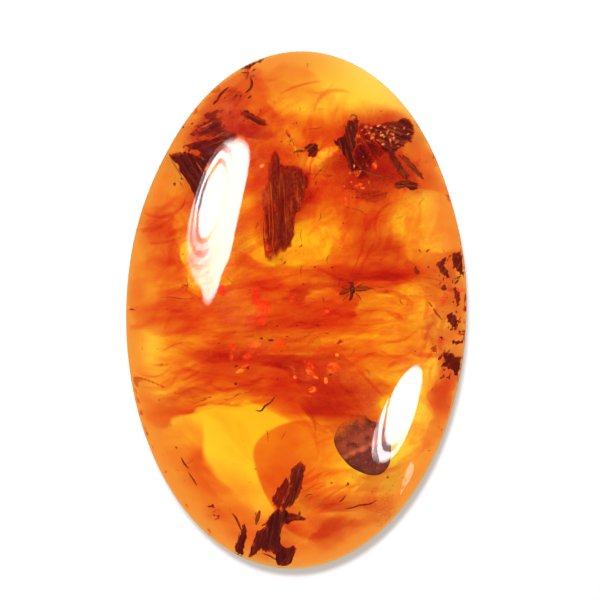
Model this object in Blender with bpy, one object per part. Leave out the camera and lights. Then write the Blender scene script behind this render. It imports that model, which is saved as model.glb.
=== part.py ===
"""Polished oval amber cabochon, lying on its flat back.

One solid: flat back, rounded lower edge, widest line (the girdle) low down,
and a domed top. +Y is the long way, +Z is up, the origin is the middle of the
flat back. Metres.
"""

import math

import bmesh
import bpy

# Driving dimensions of the stone
LENGTH = 0.0360
WIDTH = 0.0237
HEIGHT = 0.0080
GIRDLE_HEIGHT = 0.0026
BACK_SHARE = 0.94

# A dome of power 0.5 is an ellipse and one of 1.0 a parabola. This one is low on top, with
# a small round shoulder just above the girdle
DOME_POWER = 0.78

# The hand-polished outline is a little flatter than an ellipse at two shoulders:
# compass angle from +X in degrees, and how far the edge lies inside the ellipse
SHOULDERS = ((40.0, 0.00013), (130.0, 0.00015))
SHOULDER_SPREAD = 18.0

# Smoothness of the faceted solid
TURN_STEPS = 72
LOWER_EDGE_STEPS = 6
DOME_STEPS = 18

# Clear honey-orange amber
AMBER_COLOUR = (0.85, 0.33, 0.03, 1.0)
AMBER_IOR = 1.54
AMBER_ROUGHNESS = 0.03

WELD_DISTANCE = 1e-7


def clear_scene():
    for old in list(bpy.data.objects):
        bpy.data.objects.remove(old, do_unlink=True)


def amber_material():
    material = bpy.data.materials.new("polished_amber")
    material.use_nodes = True
    shader = material.node_tree.nodes["Principled BSDF"]
    shader.inputs["Base Color"].default_value = AMBER_COLOUR
    shader.inputs["Metallic"].default_value = 0.0
    shader.inputs["Roughness"].default_value = AMBER_ROUGHNESS
    shader.inputs["IOR"].default_value = AMBER_IOR
    shader.inputs["Transmission Weight"].default_value = 1.0
    return material


def side_profile():
    """Share of the full radius and height, from the rim of the back up to the crown."""
    points = []
    for step in range(LOWER_EDGE_STEPS):
        turn = 0.5 * math.pi * step / LOWER_EDGE_STEPS
        share = BACK_SHARE + (1.0 - BACK_SHARE) * math.sin(turn)
        points.append((share, GIRDLE_HEIGHT * (1.0 - math.cos(turn))))
    for step in range(DOME_STEPS + 1):
        turn = 0.5 * math.pi * step / DOME_STEPS
        rise = (HEIGHT - GIRDLE_HEIGHT) * math.sin(turn) ** (2.0 * DOME_POWER)
        points.append((math.cos(turn), GIRDLE_HEIGHT + rise))
    return points


def shoulder_inset(angle):
    """How far the outline lies inside the ellipse at this angle, in metres."""
    inset = 0.0
    for direction, depth in SHOULDERS:
        away = (math.degrees(angle) - direction + 180.0) % 360.0 - 180.0
        inset += depth * math.exp(-((away / SHOULDER_SPREAD) ** 2))
    return inset


def make_oval(mesh):
    """Turn the round unit-radius form into the oval stone with its two shoulders."""
    for vertex in mesh.verts:
        x = vertex.co.x * WIDTH / 2.0
        y = vertex.co.y * LENGTH / 2.0
        radius = math.hypot(x, y)
        if radius > 0.0:
            share = math.hypot(vertex.co.x, vertex.co.y)
            keep = 1.0 - share * shoulder_inset(math.atan2(y, x)) / radius
            x *= keep
            y *= keep
        vertex.co.x = x
        vertex.co.y = y


def build_cabochon(collection):
    mesh = bmesh.new()
    rim = [mesh.verts.new((share, 0.0, height)) for share, height in side_profile()]
    rim[-1].co.x = 0.0
    profile = rim + [mesh.edges.new(pair) for pair in zip(rim, rim[1:])]
    bmesh.ops.spin(
        mesh, geom=profile, cent=(0.0, 0.0, 0.0), axis=(0.0, 0.0, 1.0), dvec=(0.0, 0.0, 0.0),
        angle=2.0 * math.pi, steps=TURN_STEPS, use_merge=True,
    )
    bmesh.ops.remove_doubles(mesh, verts=mesh.verts, dist=WELD_DISTANCE)
    open_edges = [edge for edge in mesh.edges if edge.is_boundary]
    bmesh.ops.edgeloop_fill(mesh, edges=open_edges)
    bmesh.ops.recalc_face_normals(mesh, faces=mesh.faces)
    make_oval(mesh)

    data = bpy.data.meshes.new("amber_cabochon")
    mesh.to_mesh(data)
    mesh.free()
    data.shade_smooth()
    data.set_sharp_from_angle(angle=math.radians(40.0))
    data.materials.append(amber_material())
    stone = bpy.data.objects.new("amber_cabochon", data)
    collection.objects.link(stone)
    return stone


def main():
    clear_scene()
    collection = bpy.data.collections.new("amber_cabochon_with_inclusions")
    bpy.context.scene.collection.children.link(collection)
    build_cabochon(collection)


main()
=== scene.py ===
import math
import random

import bmesh
import bpy
from mathutils import Matrix, Vector, noise
from mathutils.bvhtree import BVHTree


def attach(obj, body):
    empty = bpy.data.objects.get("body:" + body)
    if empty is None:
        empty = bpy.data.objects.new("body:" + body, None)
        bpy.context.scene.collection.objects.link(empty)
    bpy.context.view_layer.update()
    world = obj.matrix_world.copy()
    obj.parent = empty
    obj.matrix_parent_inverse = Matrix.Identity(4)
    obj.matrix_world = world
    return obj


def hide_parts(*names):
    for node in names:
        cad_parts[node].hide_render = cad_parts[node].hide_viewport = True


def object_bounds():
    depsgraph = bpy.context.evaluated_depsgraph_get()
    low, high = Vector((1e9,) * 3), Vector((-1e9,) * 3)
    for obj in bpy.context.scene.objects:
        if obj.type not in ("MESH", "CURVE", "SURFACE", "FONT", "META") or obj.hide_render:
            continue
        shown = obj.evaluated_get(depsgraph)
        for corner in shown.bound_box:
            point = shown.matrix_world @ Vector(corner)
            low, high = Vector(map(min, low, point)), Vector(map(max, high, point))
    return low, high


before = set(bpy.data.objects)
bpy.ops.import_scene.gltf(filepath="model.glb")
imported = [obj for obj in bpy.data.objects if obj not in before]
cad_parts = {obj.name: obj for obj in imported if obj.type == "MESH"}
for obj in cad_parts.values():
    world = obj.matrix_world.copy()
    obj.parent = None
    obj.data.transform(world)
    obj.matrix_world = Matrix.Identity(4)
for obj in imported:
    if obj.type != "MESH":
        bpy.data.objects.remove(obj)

cad_low, cad_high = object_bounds()


# Amber body
# The stone itself: one piece of clear fossil resin, ground to an oval with a flat back,
# a rounded lower edge and a low dome, then polished all over by hand.

MM = 0.001
HALF_WIDTH = (cad_high.x - cad_low.x) / 2
HALF_LENGTH = (cad_high.y - cad_low.y) / 2
HEIGHT = cad_high.z
GIRDLE_HEIGHT = 2.6 * MM
BACK_SHARE = 0.94
DOME_POWER = 0.78
SHOULDERS = ((40.0, 0.13 * MM), (130.0, 0.15 * MM))
SHOULDER_SPREAD = 18.0
TURN_STEPS = 240
DOME_STEPS = 56
LOWER_EDGE_STEPS = 14
BACK_RINGS = (0.0, 0.35, 0.62, 0.8)

AMBER_IOR = 1.54

# What one millimetre of it takes of red, green and blue, and the share of a lamp's light
# that its skin lets in
AMBER_TAKES_PER_MM = (0.004, 0.095, 0.70)
LAMP_SHARE = (0.5, 0.5, 0.5, 1.0)
WAVES_PER_METRE = 160.0
WAVE_DEPTH = 0.4 * MM
WEAR_PER_METRE = 2200.0
WEAR_ROUGHNESS = 0.03
DUST_PER_METRE = 1300.0
DUST_ROUGHNESS = 0.33


class Value:
    """A number inside a material, on which Python sums and products work."""

    def __init__(self, looks, socket):
        self.looks = looks
        self.socket = socket

    def _math(self, operation, *others):
        return self.looks.node("Math", {"operation": operation}, others)

    def __add__(self, other):
        return self._math("ADD", self, other)

    def __sub__(self, other):
        return self._math("SUBTRACT", self, other)

    def __rsub__(self, other):
        return self._math("SUBTRACT", other, self)

    def __mul__(self, other):
        return self._math("MULTIPLY", self, other)

    def __truediv__(self, other):
        return self._math("DIVIDE", self, other)

    def __pow__(self, other):
        return self._math("POWER", self, other)

    __radd__ = __add__
    __rmul__ = __mul__


class Looks:
    """The nodes of one material, added one call at a time."""

    def __init__(self, name):
        self.material = bpy.data.materials.new(name)
        self.material.use_nodes = True
        self.tree = self.material.node_tree
        self.tree.nodes.clear()

    def node(self, kind, settings=None, sockets=None, out=0):
        """Add a node of this kind: settings first, then its sockets' values or links."""
        made = self.tree.nodes.new("ShaderNode" + kind)
        for key, value in (settings or {}).items():
            setattr(made, key, value)
        if isinstance(sockets, tuple):
            sockets = dict(enumerate(sockets))
        for key, value in (sockets or {}).items():
            if isinstance(value, Value):
                self.tree.links.new(value.socket, made.inputs[key])
            else:
                made.inputs[key].default_value = value
        return Value(self, made.outputs[out])

    def blend(self, factor, first, second):
        """Mix two colours."""
        return self.node("Mix", {"data_type": "RGBA"}, {0: factor, 6: first, 7: second}, 2)

    def clamp(self, value):
        return self.node("Clamp", None, {"Value": value})

    def attribute(self, name):
        """The number that the mesh holds under this name at each of its points."""
        return self.node("Attribute", {"attribute_name": name}, None, "Fac")

    def place(self):
        return self.node("TexCoord", None, None, "Object")

    def finish(self, surface, volume=None):
        output = self.tree.nodes.new("ShaderNodeOutputMaterial")
        self.tree.links.new(surface.socket, output.inputs["Surface"])
        if volume is not None:
            self.tree.links.new(volume.socket, output.inputs["Volume"])
        return self.material


def absorbing(looks, takes_per_mm):
    """Plain absorption that takes these shares of red, green and blue in each millimetre."""
    most = max(takes_per_mm)
    colour = tuple(1.0 - take / most for take in takes_per_mm) + (1.0,)
    return looks.node("VolumeAbsorption", None, {"Color": colour, "Density": most / MM})


def amber_looks():
    """Polished amber, open to the rays from lamps, which light what lies inside."""
    looks = Looks("polished_amber")
    place = looks.place()
    waves = looks.node("TexNoise", None, {"Vector": place, "Scale": WAVES_PER_METRE, "Detail": 1.0})
    polish = looks.node("Bump", None, {"Strength": 0.05, "Distance": WAVE_DEPTH, "Height": waves})
    wear = looks.node("TexNoise", None, {"Vector": place, "Scale": WEAR_PER_METRE, "Detail": 4.0})
    dust = looks.node("TexNoise", None, {
        "Vector": place, "Scale": DUST_PER_METRE, "Detail": 5.0, "Roughness": 0.7})
    glass = looks.node("BsdfPrincipled", None, {
        "Base Color": (1.0, 1.0, 1.0, 1.0), "Roughness": wear * WEAR_ROUGHNESS, "IOR": AMBER_IOR,
        "Transmission Weight": 1.0, "Normal": polish,
        "Coat Weight": looks.clamp((dust - 0.48) * 0.5), "Coat Roughness": DUST_ROUGHNESS,
    })
    is_lamp_ray = looks.node("LightPath", None, None, "Is Shadow Ray")
    open_way = looks.node("BsdfTransparent", None, {"Color": LAMP_SHARE})
    surface = looks.node("MixShader", None, (is_lamp_ray, glass, open_way))
    return looks.finish(surface, absorbing(looks, AMBER_TAKES_PER_MM))


def side_profile():
    """Share of the full radius and height, from the middle of the back round to the crown."""
    points = [(share, 0.0) for share in BACK_RINGS]
    for step in range(LOWER_EDGE_STEPS):
        turn = 0.5 * math.pi * step / LOWER_EDGE_STEPS
        share = BACK_SHARE + (1.0 - BACK_SHARE) * math.sin(turn)
        points.append((share, GIRDLE_HEIGHT * (1.0 - math.cos(turn))))
    for step in range(DOME_STEPS):
        turn = 0.5 * math.pi * step / DOME_STEPS
        rise = (HEIGHT - GIRDLE_HEIGHT) * math.sin(turn) ** (2 * DOME_POWER)
        points.append((math.cos(turn), GIRDLE_HEIGHT + rise))
    points.append((0.0, HEIGHT))
    return points


def shoulder_inset(angle):
    """How far the outline lies inside the ellipse at this angle."""
    inset = 0.0
    for direction, depth in SHOULDERS:
        away = (math.degrees(angle) - direction + 180.0) % 360.0 - 180.0
        inset += depth * math.exp(-((away / SHOULDER_SPREAD) ** 2))
    return inset


def stone_form():
    """The polished skin as a bmesh: a turned profile, made oval, with its two shoulders."""
    form = bmesh.new()
    rim = [form.verts.new((share, 0.0, height)) for share, height in side_profile()]
    profile = rim + [form.edges.new(pair) for pair in zip(rim, rim[1:])]
    bmesh.ops.spin(
        form, geom=profile, cent=(0, 0, 0), axis=(0, 0, 1), dvec=(0, 0, 0),
        angle=2 * math.pi, steps=TURN_STEPS, use_merge=True,
    )
    bmesh.ops.remove_doubles(form, verts=form.verts, dist=1e-6)
    for vertex in form.verts:
        share = math.hypot(vertex.co.x, vertex.co.y)
        vertex.co.x *= HALF_WIDTH
        vertex.co.y *= HALF_LENGTH
        radius = math.hypot(vertex.co.x, vertex.co.y)
        if radius > 0.0:
            keep = 1.0 - share * shoulder_inset(math.atan2(vertex.co.y, vertex.co.x)) / radius
            vertex.co.x *= keep
            vertex.co.y *= keep
    bmesh.ops.recalc_face_normals(form, faces=form.faces)
    return form


def make_piece(name, form, material):
    """Turn a bmesh into a finished piece of the stone's one body."""
    data = bpy.data.meshes.new(name)
    form.to_mesh(data)
    form.free()
    data.shade_smooth()
    data.materials.append(material)
    piece = bpy.data.objects.new(name, data)
    bpy.context.scene.collection.objects.link(piece)
    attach(piece, "root")
    return piece


skin_form = stone_form()
skin = BVHTree.FromBMesh(skin_form)
amber_body = make_piece("amber_body", skin_form, amber_looks())
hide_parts("amber_cabochon")


# Camera
# It looks straight down on the stone with a long lens, turned a little, so that the stone
# leans as it does in the photograph. Places inside the stone are read through it.

PICTURE = 600
STONE_CENTRE = (296.4, 309.8)
STONE_LENGTH = 517.0
LEAN = math.radians(1.9)
LENS = 200.0
SENSOR = 36.0
PIXEL = 2 * HALF_LENGTH / STONE_LENGTH
CAMERA_RISE = LENS * PICTURE * PIXEL / SENSOR


def over(px, py):
    """Where a point of the picture lies at the height of the girdle."""
    right = (px - STONE_CENTRE[0]) * PIXEL
    up = (STONE_CENTRE[1] - py) * PIXEL
    return Vector((
        right * math.cos(LEAN) - up * math.sin(LEAN),
        right * math.sin(LEAN) + up * math.cos(LEAN), GIRDLE_HEIGHT,
    ))


eye = over(PICTURE / 2, PICTURE / 2) + Vector((0, 0, CAMERA_RISE))
camera_data = bpy.data.cameras.new("camera")
camera_data.lens = LENS
camera_data.sensor_width = SENSOR
camera_data.clip_start = 1 * MM
camera = bpy.data.objects.new("camera", camera_data)
camera.matrix_world = Matrix.Translation(eye) @ Matrix.Rotation(LEAN, 4, "Z")
bpy.context.scene.collection.objects.link(camera)
bpy.context.scene.camera = camera


# Colour flows
# The resin ran out in many flows, and some dried darker than others before the next one
# covered them. Each is a soft-edged lens of denser colour, sealed in the clear amber.

RIND = ("flow_rind", (0.05, 0.34, 0.40))
ORANGE = ("flow_orange", (0.13, 0.90, 0.90))
RED = ("flow_red", (0.44, 1.90, 1.50))
BROWN = ("flow_brown", (1.10, 3.40, 2.50))
FLOW_SEED = 5
FLOW_TURNS = 112
FLOW_RINGS = 36
STREAK_LENGTH = 70
STREAK_WIDTH = 26
FLOW_SWAY = 0.8 * MM
SWAY_LENGTH = 90
FLOW_WANDER = Vector((14, 7))
VIEW_STEP = 2
SKIN_CLEARANCE = 0.10 * MM

# Name, colour, rise from 0 at the back to 1 at the top, thickness in mm, how soon it thins
# towards its edge, how loose its edge is, and its outline in the picture
FLOWS = (
    ("upper_flow", ORANGE, 0.38, 1.9, 0.9, 1.0, (
        (148, 208), (162, 165), (185, 120), (215, 84), (244, 64), (262, 70), (266, 100), (300, 110),
        (340, 108), (405, 112), (440, 165), (452, 192), (430, 192), (404, 200), (396, 232), (345, 232),
        (316, 230), (296, 236), (255, 240), (190, 225))),
    ("upper_left_flow", RED, 0.62, 1.0, 0.9, 1.0, (
        (174, 152), (184, 126), (204, 106), (222, 87), (240, 80), (250, 92), (248, 112), (264, 116),
        (280, 124), (276, 140), (256, 142), (240, 134), (220, 140), (206, 162), (192, 184), (180, 174))),
    ("behind_bark_flow", RED, 0.30, 1.0, 0.9, 1.0, (
        (248, 150), (270, 138), (296, 150), (314, 170), (308, 205), (296, 232), (276, 262), (258, 240),
        (254, 200))),
    ("chunk_flow", BROWN, 0.45, 0.5, 0.8, 1.0, (
        (326, 176), (334, 142), (342, 118), (360, 108), (398, 110), (408, 128), (405, 150), (420, 166),
        (418, 184), (396, 190), (386, 202), (364, 202), (346, 192))),
    ("right_flow", RED, 0.50, 0.6, 1.1, 1.0, (
        (342, 208), (380, 192), (402, 214), (406, 238), (412, 260), (428, 274), (404, 279), (378, 274),
        (350, 262), (344, 236))),
    ("middle_streak", RED, 0.66, 0.95, 1.1, 1.0, (
        (258, 304), (282, 290), (304, 280), (320, 268), (342, 261), (366, 262), (398, 266), (430, 276),
        (400, 281), (372, 279), (362, 292), (350, 302), (336, 292), (316, 294), (288, 304))),
    ("centre_flow", RED, 0.40, 0.22, 1.0, 1.0, (
        (238, 318), (256, 298), (284, 290), (312, 296), (332, 318), (330, 332), (300, 337), (268, 341),
        (244, 336))),
    ("left_flow", ORANGE, 0.55, 2.1, 0.9, 1.0, (
        (136, 252), (144, 212), (166, 192), (186, 206), (184, 240), (192, 284), (206, 300), (240, 286),
        (240, 318), (206, 336), (184, 342), (164, 340), (148, 334), (134, 332), (128, 292))),
    ("left_edge_flow", ORANGE, 0.62, 1.1, 0.8, 1.0, (
        (148, 206), (160, 194), (176, 202), (184, 222), (180, 250), (164, 258), (148, 246), (144, 226))),
    # Painted shade: darker amber laid under the left bright patch so that the lines of its reflection show
    # dark
    ("left_card_painted_shade_flow", ORANGE, 0.50, 1.3, 0.6, 1.0, (
        (214, 150), (210, 172), (208, 200), (209, 230), (211, 256), (204, 278), (191, 264), (185, 232),
        (189, 204), (198, 172))),
    ("right_side_flow", ORANGE, 0.42, 1.8, 0.9, 1.0, (
        (340, 222), (396, 222), (430, 250), (458, 250), (462, 300), (440, 300), (430, 282), (396, 284),
        (360, 300), (350, 330), (300, 345), (262, 350), (240, 330), (262, 290), (300, 276))),
    ("middle_band", RED, 0.42, 0.95, 1.1, 1.0, (
        (184, 350), (214, 340), (246, 340), (262, 350), (286, 354), (312, 353), (324, 362), (302, 374),
        (270, 367), (240, 365), (205, 365), (190, 360))),
    ("lower_band", RED, 0.36, 0.85, 1.2, 1.0, (
        (146, 398), (164, 388), (200, 386), (240, 383), (270, 377), (300, 378), (306, 394), (276, 399),
        (240, 395), (205, 400), (176, 404), (164, 416), (152, 412))),
    ("heart_flow", RED, 0.50, 0.80, 0.45, 1.0, (
        (278, 358), (310, 354), (330, 346), (350, 360), (374, 372), (388, 392), (384, 425), (374, 450),
        (354, 454), (338, 441), (325, 426), (304, 418), (311, 398), (294, 385))),
    ("waist_flow", ORANGE, 0.30, 2.5, 0.7, 1.0, (
        (134, 378), (150, 350), (200, 338), (262, 332), (320, 336), (350, 345), (370, 372), (378, 400),
        (366, 428), (330, 432), (294, 424), (262, 408), (240, 404), (190, 408), (160, 430), (142, 414))),
    ("pale_middle_flow", ORANGE, 0.68, 0.9, 1.2, 1.0, (
        (130, 320), (146, 300), (200, 290), (262, 284), (330, 286), (400, 290), (460, 290), (464, 330),
        (440, 346), (400, 332), (350, 340), (280, 342), (210, 350), (160, 366), (136, 348))),
    ("pale_lower_flow", ORANGE, 0.62, 0.6, 1.5, 1.0, (
        (176, 460), (200, 448), (240, 462), (262, 480), (282, 500), (300, 530), (280, 552), (240, 540),
        (204, 512))),
    ("chunk_halo_flow", ORANGE, 0.35, 1.5, 0.8, 1.0, (
        (330, 104), (372, 100), (410, 112), (436, 150), (444, 196), (420, 206), (380, 240), (350, 250),
        (330, 200), (322, 150))),
    ("window_edge_flow", ORANGE, 0.60, 1.6, 0.7, 1.0, (
        (232, 250), (262, 262), (290, 268), (322, 266), (316, 282), (290, 292), (256, 304), (232, 300))),
    ("foot_flow", ORANGE, 0.35, 1.1, 1.0, 1.0, (
        (204, 508), (240, 500), (262, 512), (300, 520), (330, 545), (300, 560), (262, 560), (226, 540))),
    ("right_lower_flow", ORANGE, 0.40, 1.2, 1.0, 1.0, (
        (428, 366), (450, 360), (458, 380), (450, 420), (438, 444), (422, 452), (424, 420))),
    ("top_flow", ORANGE, 0.55, 0.65, 1.0, 1.0, (
        (222, 92), (244, 72), (266, 62), (292, 60), (316, 66), (322, 82), (336, 104), (300, 118),
        (262, 112))),
    ("right_clear_flow", ORANGE, 0.60, 0.8, 1.0, 1.0, (
        (396, 206), (420, 198), (448, 196), (460, 230), (464, 262), (440, 268), (414, 258), (400, 234))),
    ("right_middle_flow", ORANGE, 0.35, 1.0, 0.8, 1.0, (
        (342, 350), (352, 332), (384, 336), (420, 330), (440, 340), (430, 366), (412, 372), (396, 386),
        (384, 392), (362, 384), (348, 372))),
    ("lower_right_flow", RED, 0.45, 1.15, 1.3, 1.0, (
        (296, 498), (322, 492), (348, 486), (370, 472), (388, 456), (400, 470), (390, 498), (380, 520),
        (354, 540), (326, 548), (304, 546), (312, 532), (300, 520))),
    ("right_rim_flow", RED, 0.50, 0.6, 0.8, 1.0, (
        (414, 262), (440, 254), (462, 250), (466, 300), (464, 350), (456, 382), (446, 418), (430, 424),
        (434, 392), (440, 352), (424, 340), (418, 320), (430, 300), (418, 284))),
    ("left_lower_flow", ORANGE, 0.45, 1.45, 2.6, 0.5, (
        (134, 380), (168, 388), (200, 404), (206, 446), (226, 482), (250, 504), (262, 530), (244, 552),
        (206, 528), (170, 480), (144, 430))),
)
RIND_STEPS = 20
RIND_INNER = 0.78
RIND_OUTER = 0.985
RIND_GAP = (66.0, 22.0)


def meets_skin(px, py):
    """Where the camera's ray meets the polish, its direction, and the true normal there."""
    while True:
        aim = (over(px, py) - eye).normalized()
        entry, normal, _, _ = skin.ray_cast(eye, aim)
        if entry is not None:
            break
        px += (STONE_CENTRE[0] - px) * 0.01
        py += (STONE_CENTRE[1] - py) * 0.01
    left = 1 - (entry.x / HALF_WIDTH) ** 2 - (entry.y / HALF_LENGTH) ** 2
    if left > 0.03:
        fall = 2 * DOME_POWER * (HEIGHT - GIRDLE_HEIGHT) * left ** (DOME_POWER - 1)
        normal = Vector((fall * entry.x / HALF_WIDTH ** 2, fall * entry.y / HALF_LENGTH ** 2, 1)).normalized()
    return entry, aim, normal


def way_in(px, py):
    """Where a ray from the camera enters, how the amber bends it, and how far it runs inside."""
    entry, aim, normal = meets_skin(px, py)
    facing = -aim.dot(normal)
    bent = aim / AMBER_IOR
    bent += normal * (facing / AMBER_IOR - math.sqrt(1 - (1 - facing * facing) / AMBER_IOR ** 2))
    _, _, _, length = skin.ray_cast(entry + bent * 0.01 * MM, bent)
    return entry, bent, length


ways = {}


def inside(px, py, rise, lift=0.0):
    """The place in the stone that shows at this point of the picture. rise is 0 at the back and
    1 at the polished top, and lift moves it on towards the eye."""
    column, row = math.floor(px / VIEW_STEP), math.floor(py / VIEW_STEP)
    u, v = px / VIEW_STEP - column, py / VIEW_STEP - row
    corners = []
    for spot in ((column, row), (column + 1, row), (column, row + 1), (column + 1, row + 1)):
        if spot not in ways:
            ways[spot] = way_in(spot[0] * VIEW_STEP, spot[1] * VIEW_STEP)
        corners.append(ways[spot])
    (e1, b1, l1), (e2, b2, l2), (e3, b3, l3), (e4, b4, l4) = corners
    entry = e1.lerp(e2, u).lerp(e3.lerp(e4, u), v)
    bent = b1.lerp(b2, u).lerp(b3.lerp(b4, u), v)
    length = (l1 + (l2 - l1) * u) * (1 - v) + (l3 + (l4 - l3) * u) * v
    depth = (1.0 - rise) * length - lift
    clear = min(SKIN_CLEARANCE, length / 2)
    return entry + bent * min(max(depth, clear), length - clear)


def along(points, share):
    """A point on the smooth closed curve through these points, share of the way round."""
    at = share * len(points)
    step = int(at)
    part = at - step
    a, b, c, d = (Vector(points[(step + k - 1) % len(points)]) for k in range(4))
    bend = (c - a) * part + (2 * a - 5 * b + 4 * c - d) * part ** 2
    return (2 * b + bend + (3 * b - a - 3 * c + d) * part ** 3) / 2


def middle_of(outline):
    return sum((Vector(point) for point in outline), Vector((0, 0))) / len(outline)


def add_lens(form, outline, rise, turns, rings, half_thickness, sway=None, fray=None):
    """Fill an outline of the picture with a closed lens. half_thickness and sway give its form
    at each spot, and fray may move a spot. Gives back each point, its spot and its share of
    the way out to the edge."""
    lens = bmesh.ops.create_uvsphere(form, u_segments=turns, v_segments=rings, radius=1)
    if sum(Vector(a).cross(Vector(b)) for a, b in zip(outline, outline[1:] + outline[:1])) > 0:
        outline = outline[::-1]
    middle = middle_of(outline)
    edge = [along(outline, step / turns) for step in range(turns)]
    placed = []
    for vertex in lens["verts"]:
        polar = math.acos(max(-1.0, min(1.0, vertex.co.z))) / (0.5 * math.pi)
        share = min(polar, 2 - polar)
        side = 1 if polar < 1 else -1
        step = round(math.atan2(vertex.co.y, vertex.co.x) / (2 * math.pi) * turns) % turns
        spot = middle + (edge[step] - middle) * share
        if fray is not None:
            spot = fray(spot, share)
        lift = 0.0 if sway is None else sway(spot)
        vertex.co = inside(spot.x, spot.y, rise, lift + side * half_thickness(spot, share))
        placed.append((vertex, spot, share))
    return placed


def flow_looks(name, takes_per_mm):
    """A clear body that only absorbs: these shares of red, green and blue in a millimetre."""
    looks = Looks(name)
    return looks.finish(looks.node("BsdfTransparent"), absorbing(looks, takes_per_mm))


def flow_form(rise, thickness, edge, loose, outline, shift):
    """A flow that fills the outline, with streaks of more and less colour drawn out along it."""
    def half_thickness(spot, share):
        drawn = Vector((spot.x / STREAK_LENGTH, spot.y / STREAK_WIDTH, 0)) + shift
        drawn += 0.5 * noise.noise_vector(drawn * 0.8)
        streaks = noise.fractal(drawn, 0.75, 2.2, 6)
        return (1 - share * share) ** edge * max(0.12, 0.85 + 0.75 * streaks) * thickness * MM / 2

    def sway(spot):
        return FLOW_SWAY * noise.noise(Vector((spot.x / SWAY_LENGTH, spot.y / SWAY_LENGTH, 1)) + shift)

    def wander(spot, share):
        place = Vector((spot.x / 34, spot.y / 20, 3)) + shift
        return spot + loose * share ** 3 * FLOW_WANDER * noise.fractal(place, 0.8, 2.2, 4)

    form = bmesh.new()
    add_lens(form, outline, rise, FLOW_TURNS, FLOW_RINGS, half_thickness, sway, wander)
    return form


def rind_form():
    """A ring of slightly darker amber inside the rim, with a gap at the upper right."""
    form = bmesh.new()
    dome = HEIGHT - GIRDLE_HEIGHT - 2 * SKIN_CLEARANCE
    profile = []
    for side in (1, -1):
        for step in range(RIND_STEPS)[::side]:
            share = RIND_INNER + (RIND_OUTER - RIND_INNER) * step / (RIND_STEPS - 1)
            top = GIRDLE_HEIGHT + dome * (1 - share * share) ** DOME_POWER
            curl = max(0.0, (share - BACK_SHARE) / (1 - BACK_SHARE))
            bottom = GIRDLE_HEIGHT * (1 - math.sqrt(1 - curl * curl)) + 2 * SKIN_CLEARANCE
            swell = math.sin(0.5 * math.pi * step / (RIND_STEPS - 1)) ** 2
            if step > 0 or side > 0:
                height = (top + bottom) / 2 + side * swell * (top - bottom) / 2
                profile.append(form.verts.new((share, 0.0, height)))
    ring = profile + [form.edges.new(pair) for pair in zip(profile, profile[1:] + profile[:1])]
    bmesh.ops.spin(
        form, geom=ring, cent=(0, 0, 0), axis=(0, 0, 1), dvec=(0, 0, 0),
        angle=2 * math.pi, steps=TURN_STEPS, use_merge=True,
    )
    bmesh.ops.remove_doubles(form, verts=form.verts, dist=1e-6)
    bmesh.ops.recalc_face_normals(form, faces=form.faces)
    for vertex in form.verts:
        compass = math.degrees(math.atan2(vertex.co.y, vertex.co.x))
        away = (compass - RIND_GAP[0] + 180.0) % 360.0 - 180.0
        thinning = 1 - 0.9 * math.exp(-((away / RIND_GAP[1]) ** 2))
        share = math.hypot(vertex.co.x, vertex.co.y)
        lower = 0.5 * (GIRDLE_HEIGHT + dome * (1 - share * share) ** DOME_POWER)
        vertex.co.z = lower + (vertex.co.z - lower) * thinning
        vertex.co.x *= HALF_WIDTH
        vertex.co.y *= HALF_LENGTH
    return form


flow_materials = {name: flow_looks(name, takes) for name, takes in (RIND, ORANGE, RED, BROWN)}
make_piece("rind", rind_form(), flow_materials[RIND[0]])
noise.seed_set(FLOW_SEED)
for count, (name, (kind, _), rise, thickness, edge, loose, outline) in enumerate(FLOWS):
    shift = Vector((count * 7.3, count * 3.1, count * 5.7))
    flow = flow_form(rise, thickness, edge, loose, outline, shift)
    make_piece(name, flow, flow_materials[kind])


# Rounded lobe
# One orange flow stopped in a round front. Its left edge is sharp, and towards the right it
# thins out into the amber round it.

LOBE_RISE = 0.55
LOBE_THICKNESS = 1.7 * MM
LOBE_EDGE = 0.12
LOBE_THINS_FROM = 290.0
LOBE_THINS_TO = 352.0
LOBE_OUTLINE = (
    (304, 419), (286, 422), (268, 430), (256, 441), (252, 453), (256, 473), (263, 492), (272, 508),
    (284, 528), (306, 540), (336, 536), (356, 508), (362, 470), (346, 436), (326, 424))


def lobe_half_thickness(spot, share):
    thin = (LOBE_THINS_TO - spot.x) / (LOBE_THINS_TO - LOBE_THINS_FROM)
    streaks = noise.fractal(Vector((spot.x / 60, spot.y / 40, 8.0)), 0.75, 2.2, 5)
    form = (1 - share * share) ** LOBE_EDGE * max(0.02, min(1.0, thin))
    return form * (0.95 + 0.3 * streaks) * LOBE_THICKNESS / 2


def lobe_sway(spot):
    return 0.6 * MM * noise.noise(Vector((spot.x / 80, spot.y / 80, 5)))


lobe = bmesh.new()
add_lens(lobe, LOBE_OUTLINE, LOBE_RISE, FLOW_TURNS, FLOW_RINGS, lobe_half_thickness, lobe_sway)
make_piece("lobe_flow", lobe, flow_materials[ORANGE[0]])


# Cloudy layers
# Between the flows the resin is clouded by fine tiny streaks and blotches. Each layer is a thin
# sheet of amber whose tint is strong in the streaks and clear between them.

LAYER_TURNS = 96
LAYER_RINGS = 22
LAYER_FADE = 0.35
LAYER_SWELL = 0.15 * MM
LAYER_RIPPLE = 0.5 * MM

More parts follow.
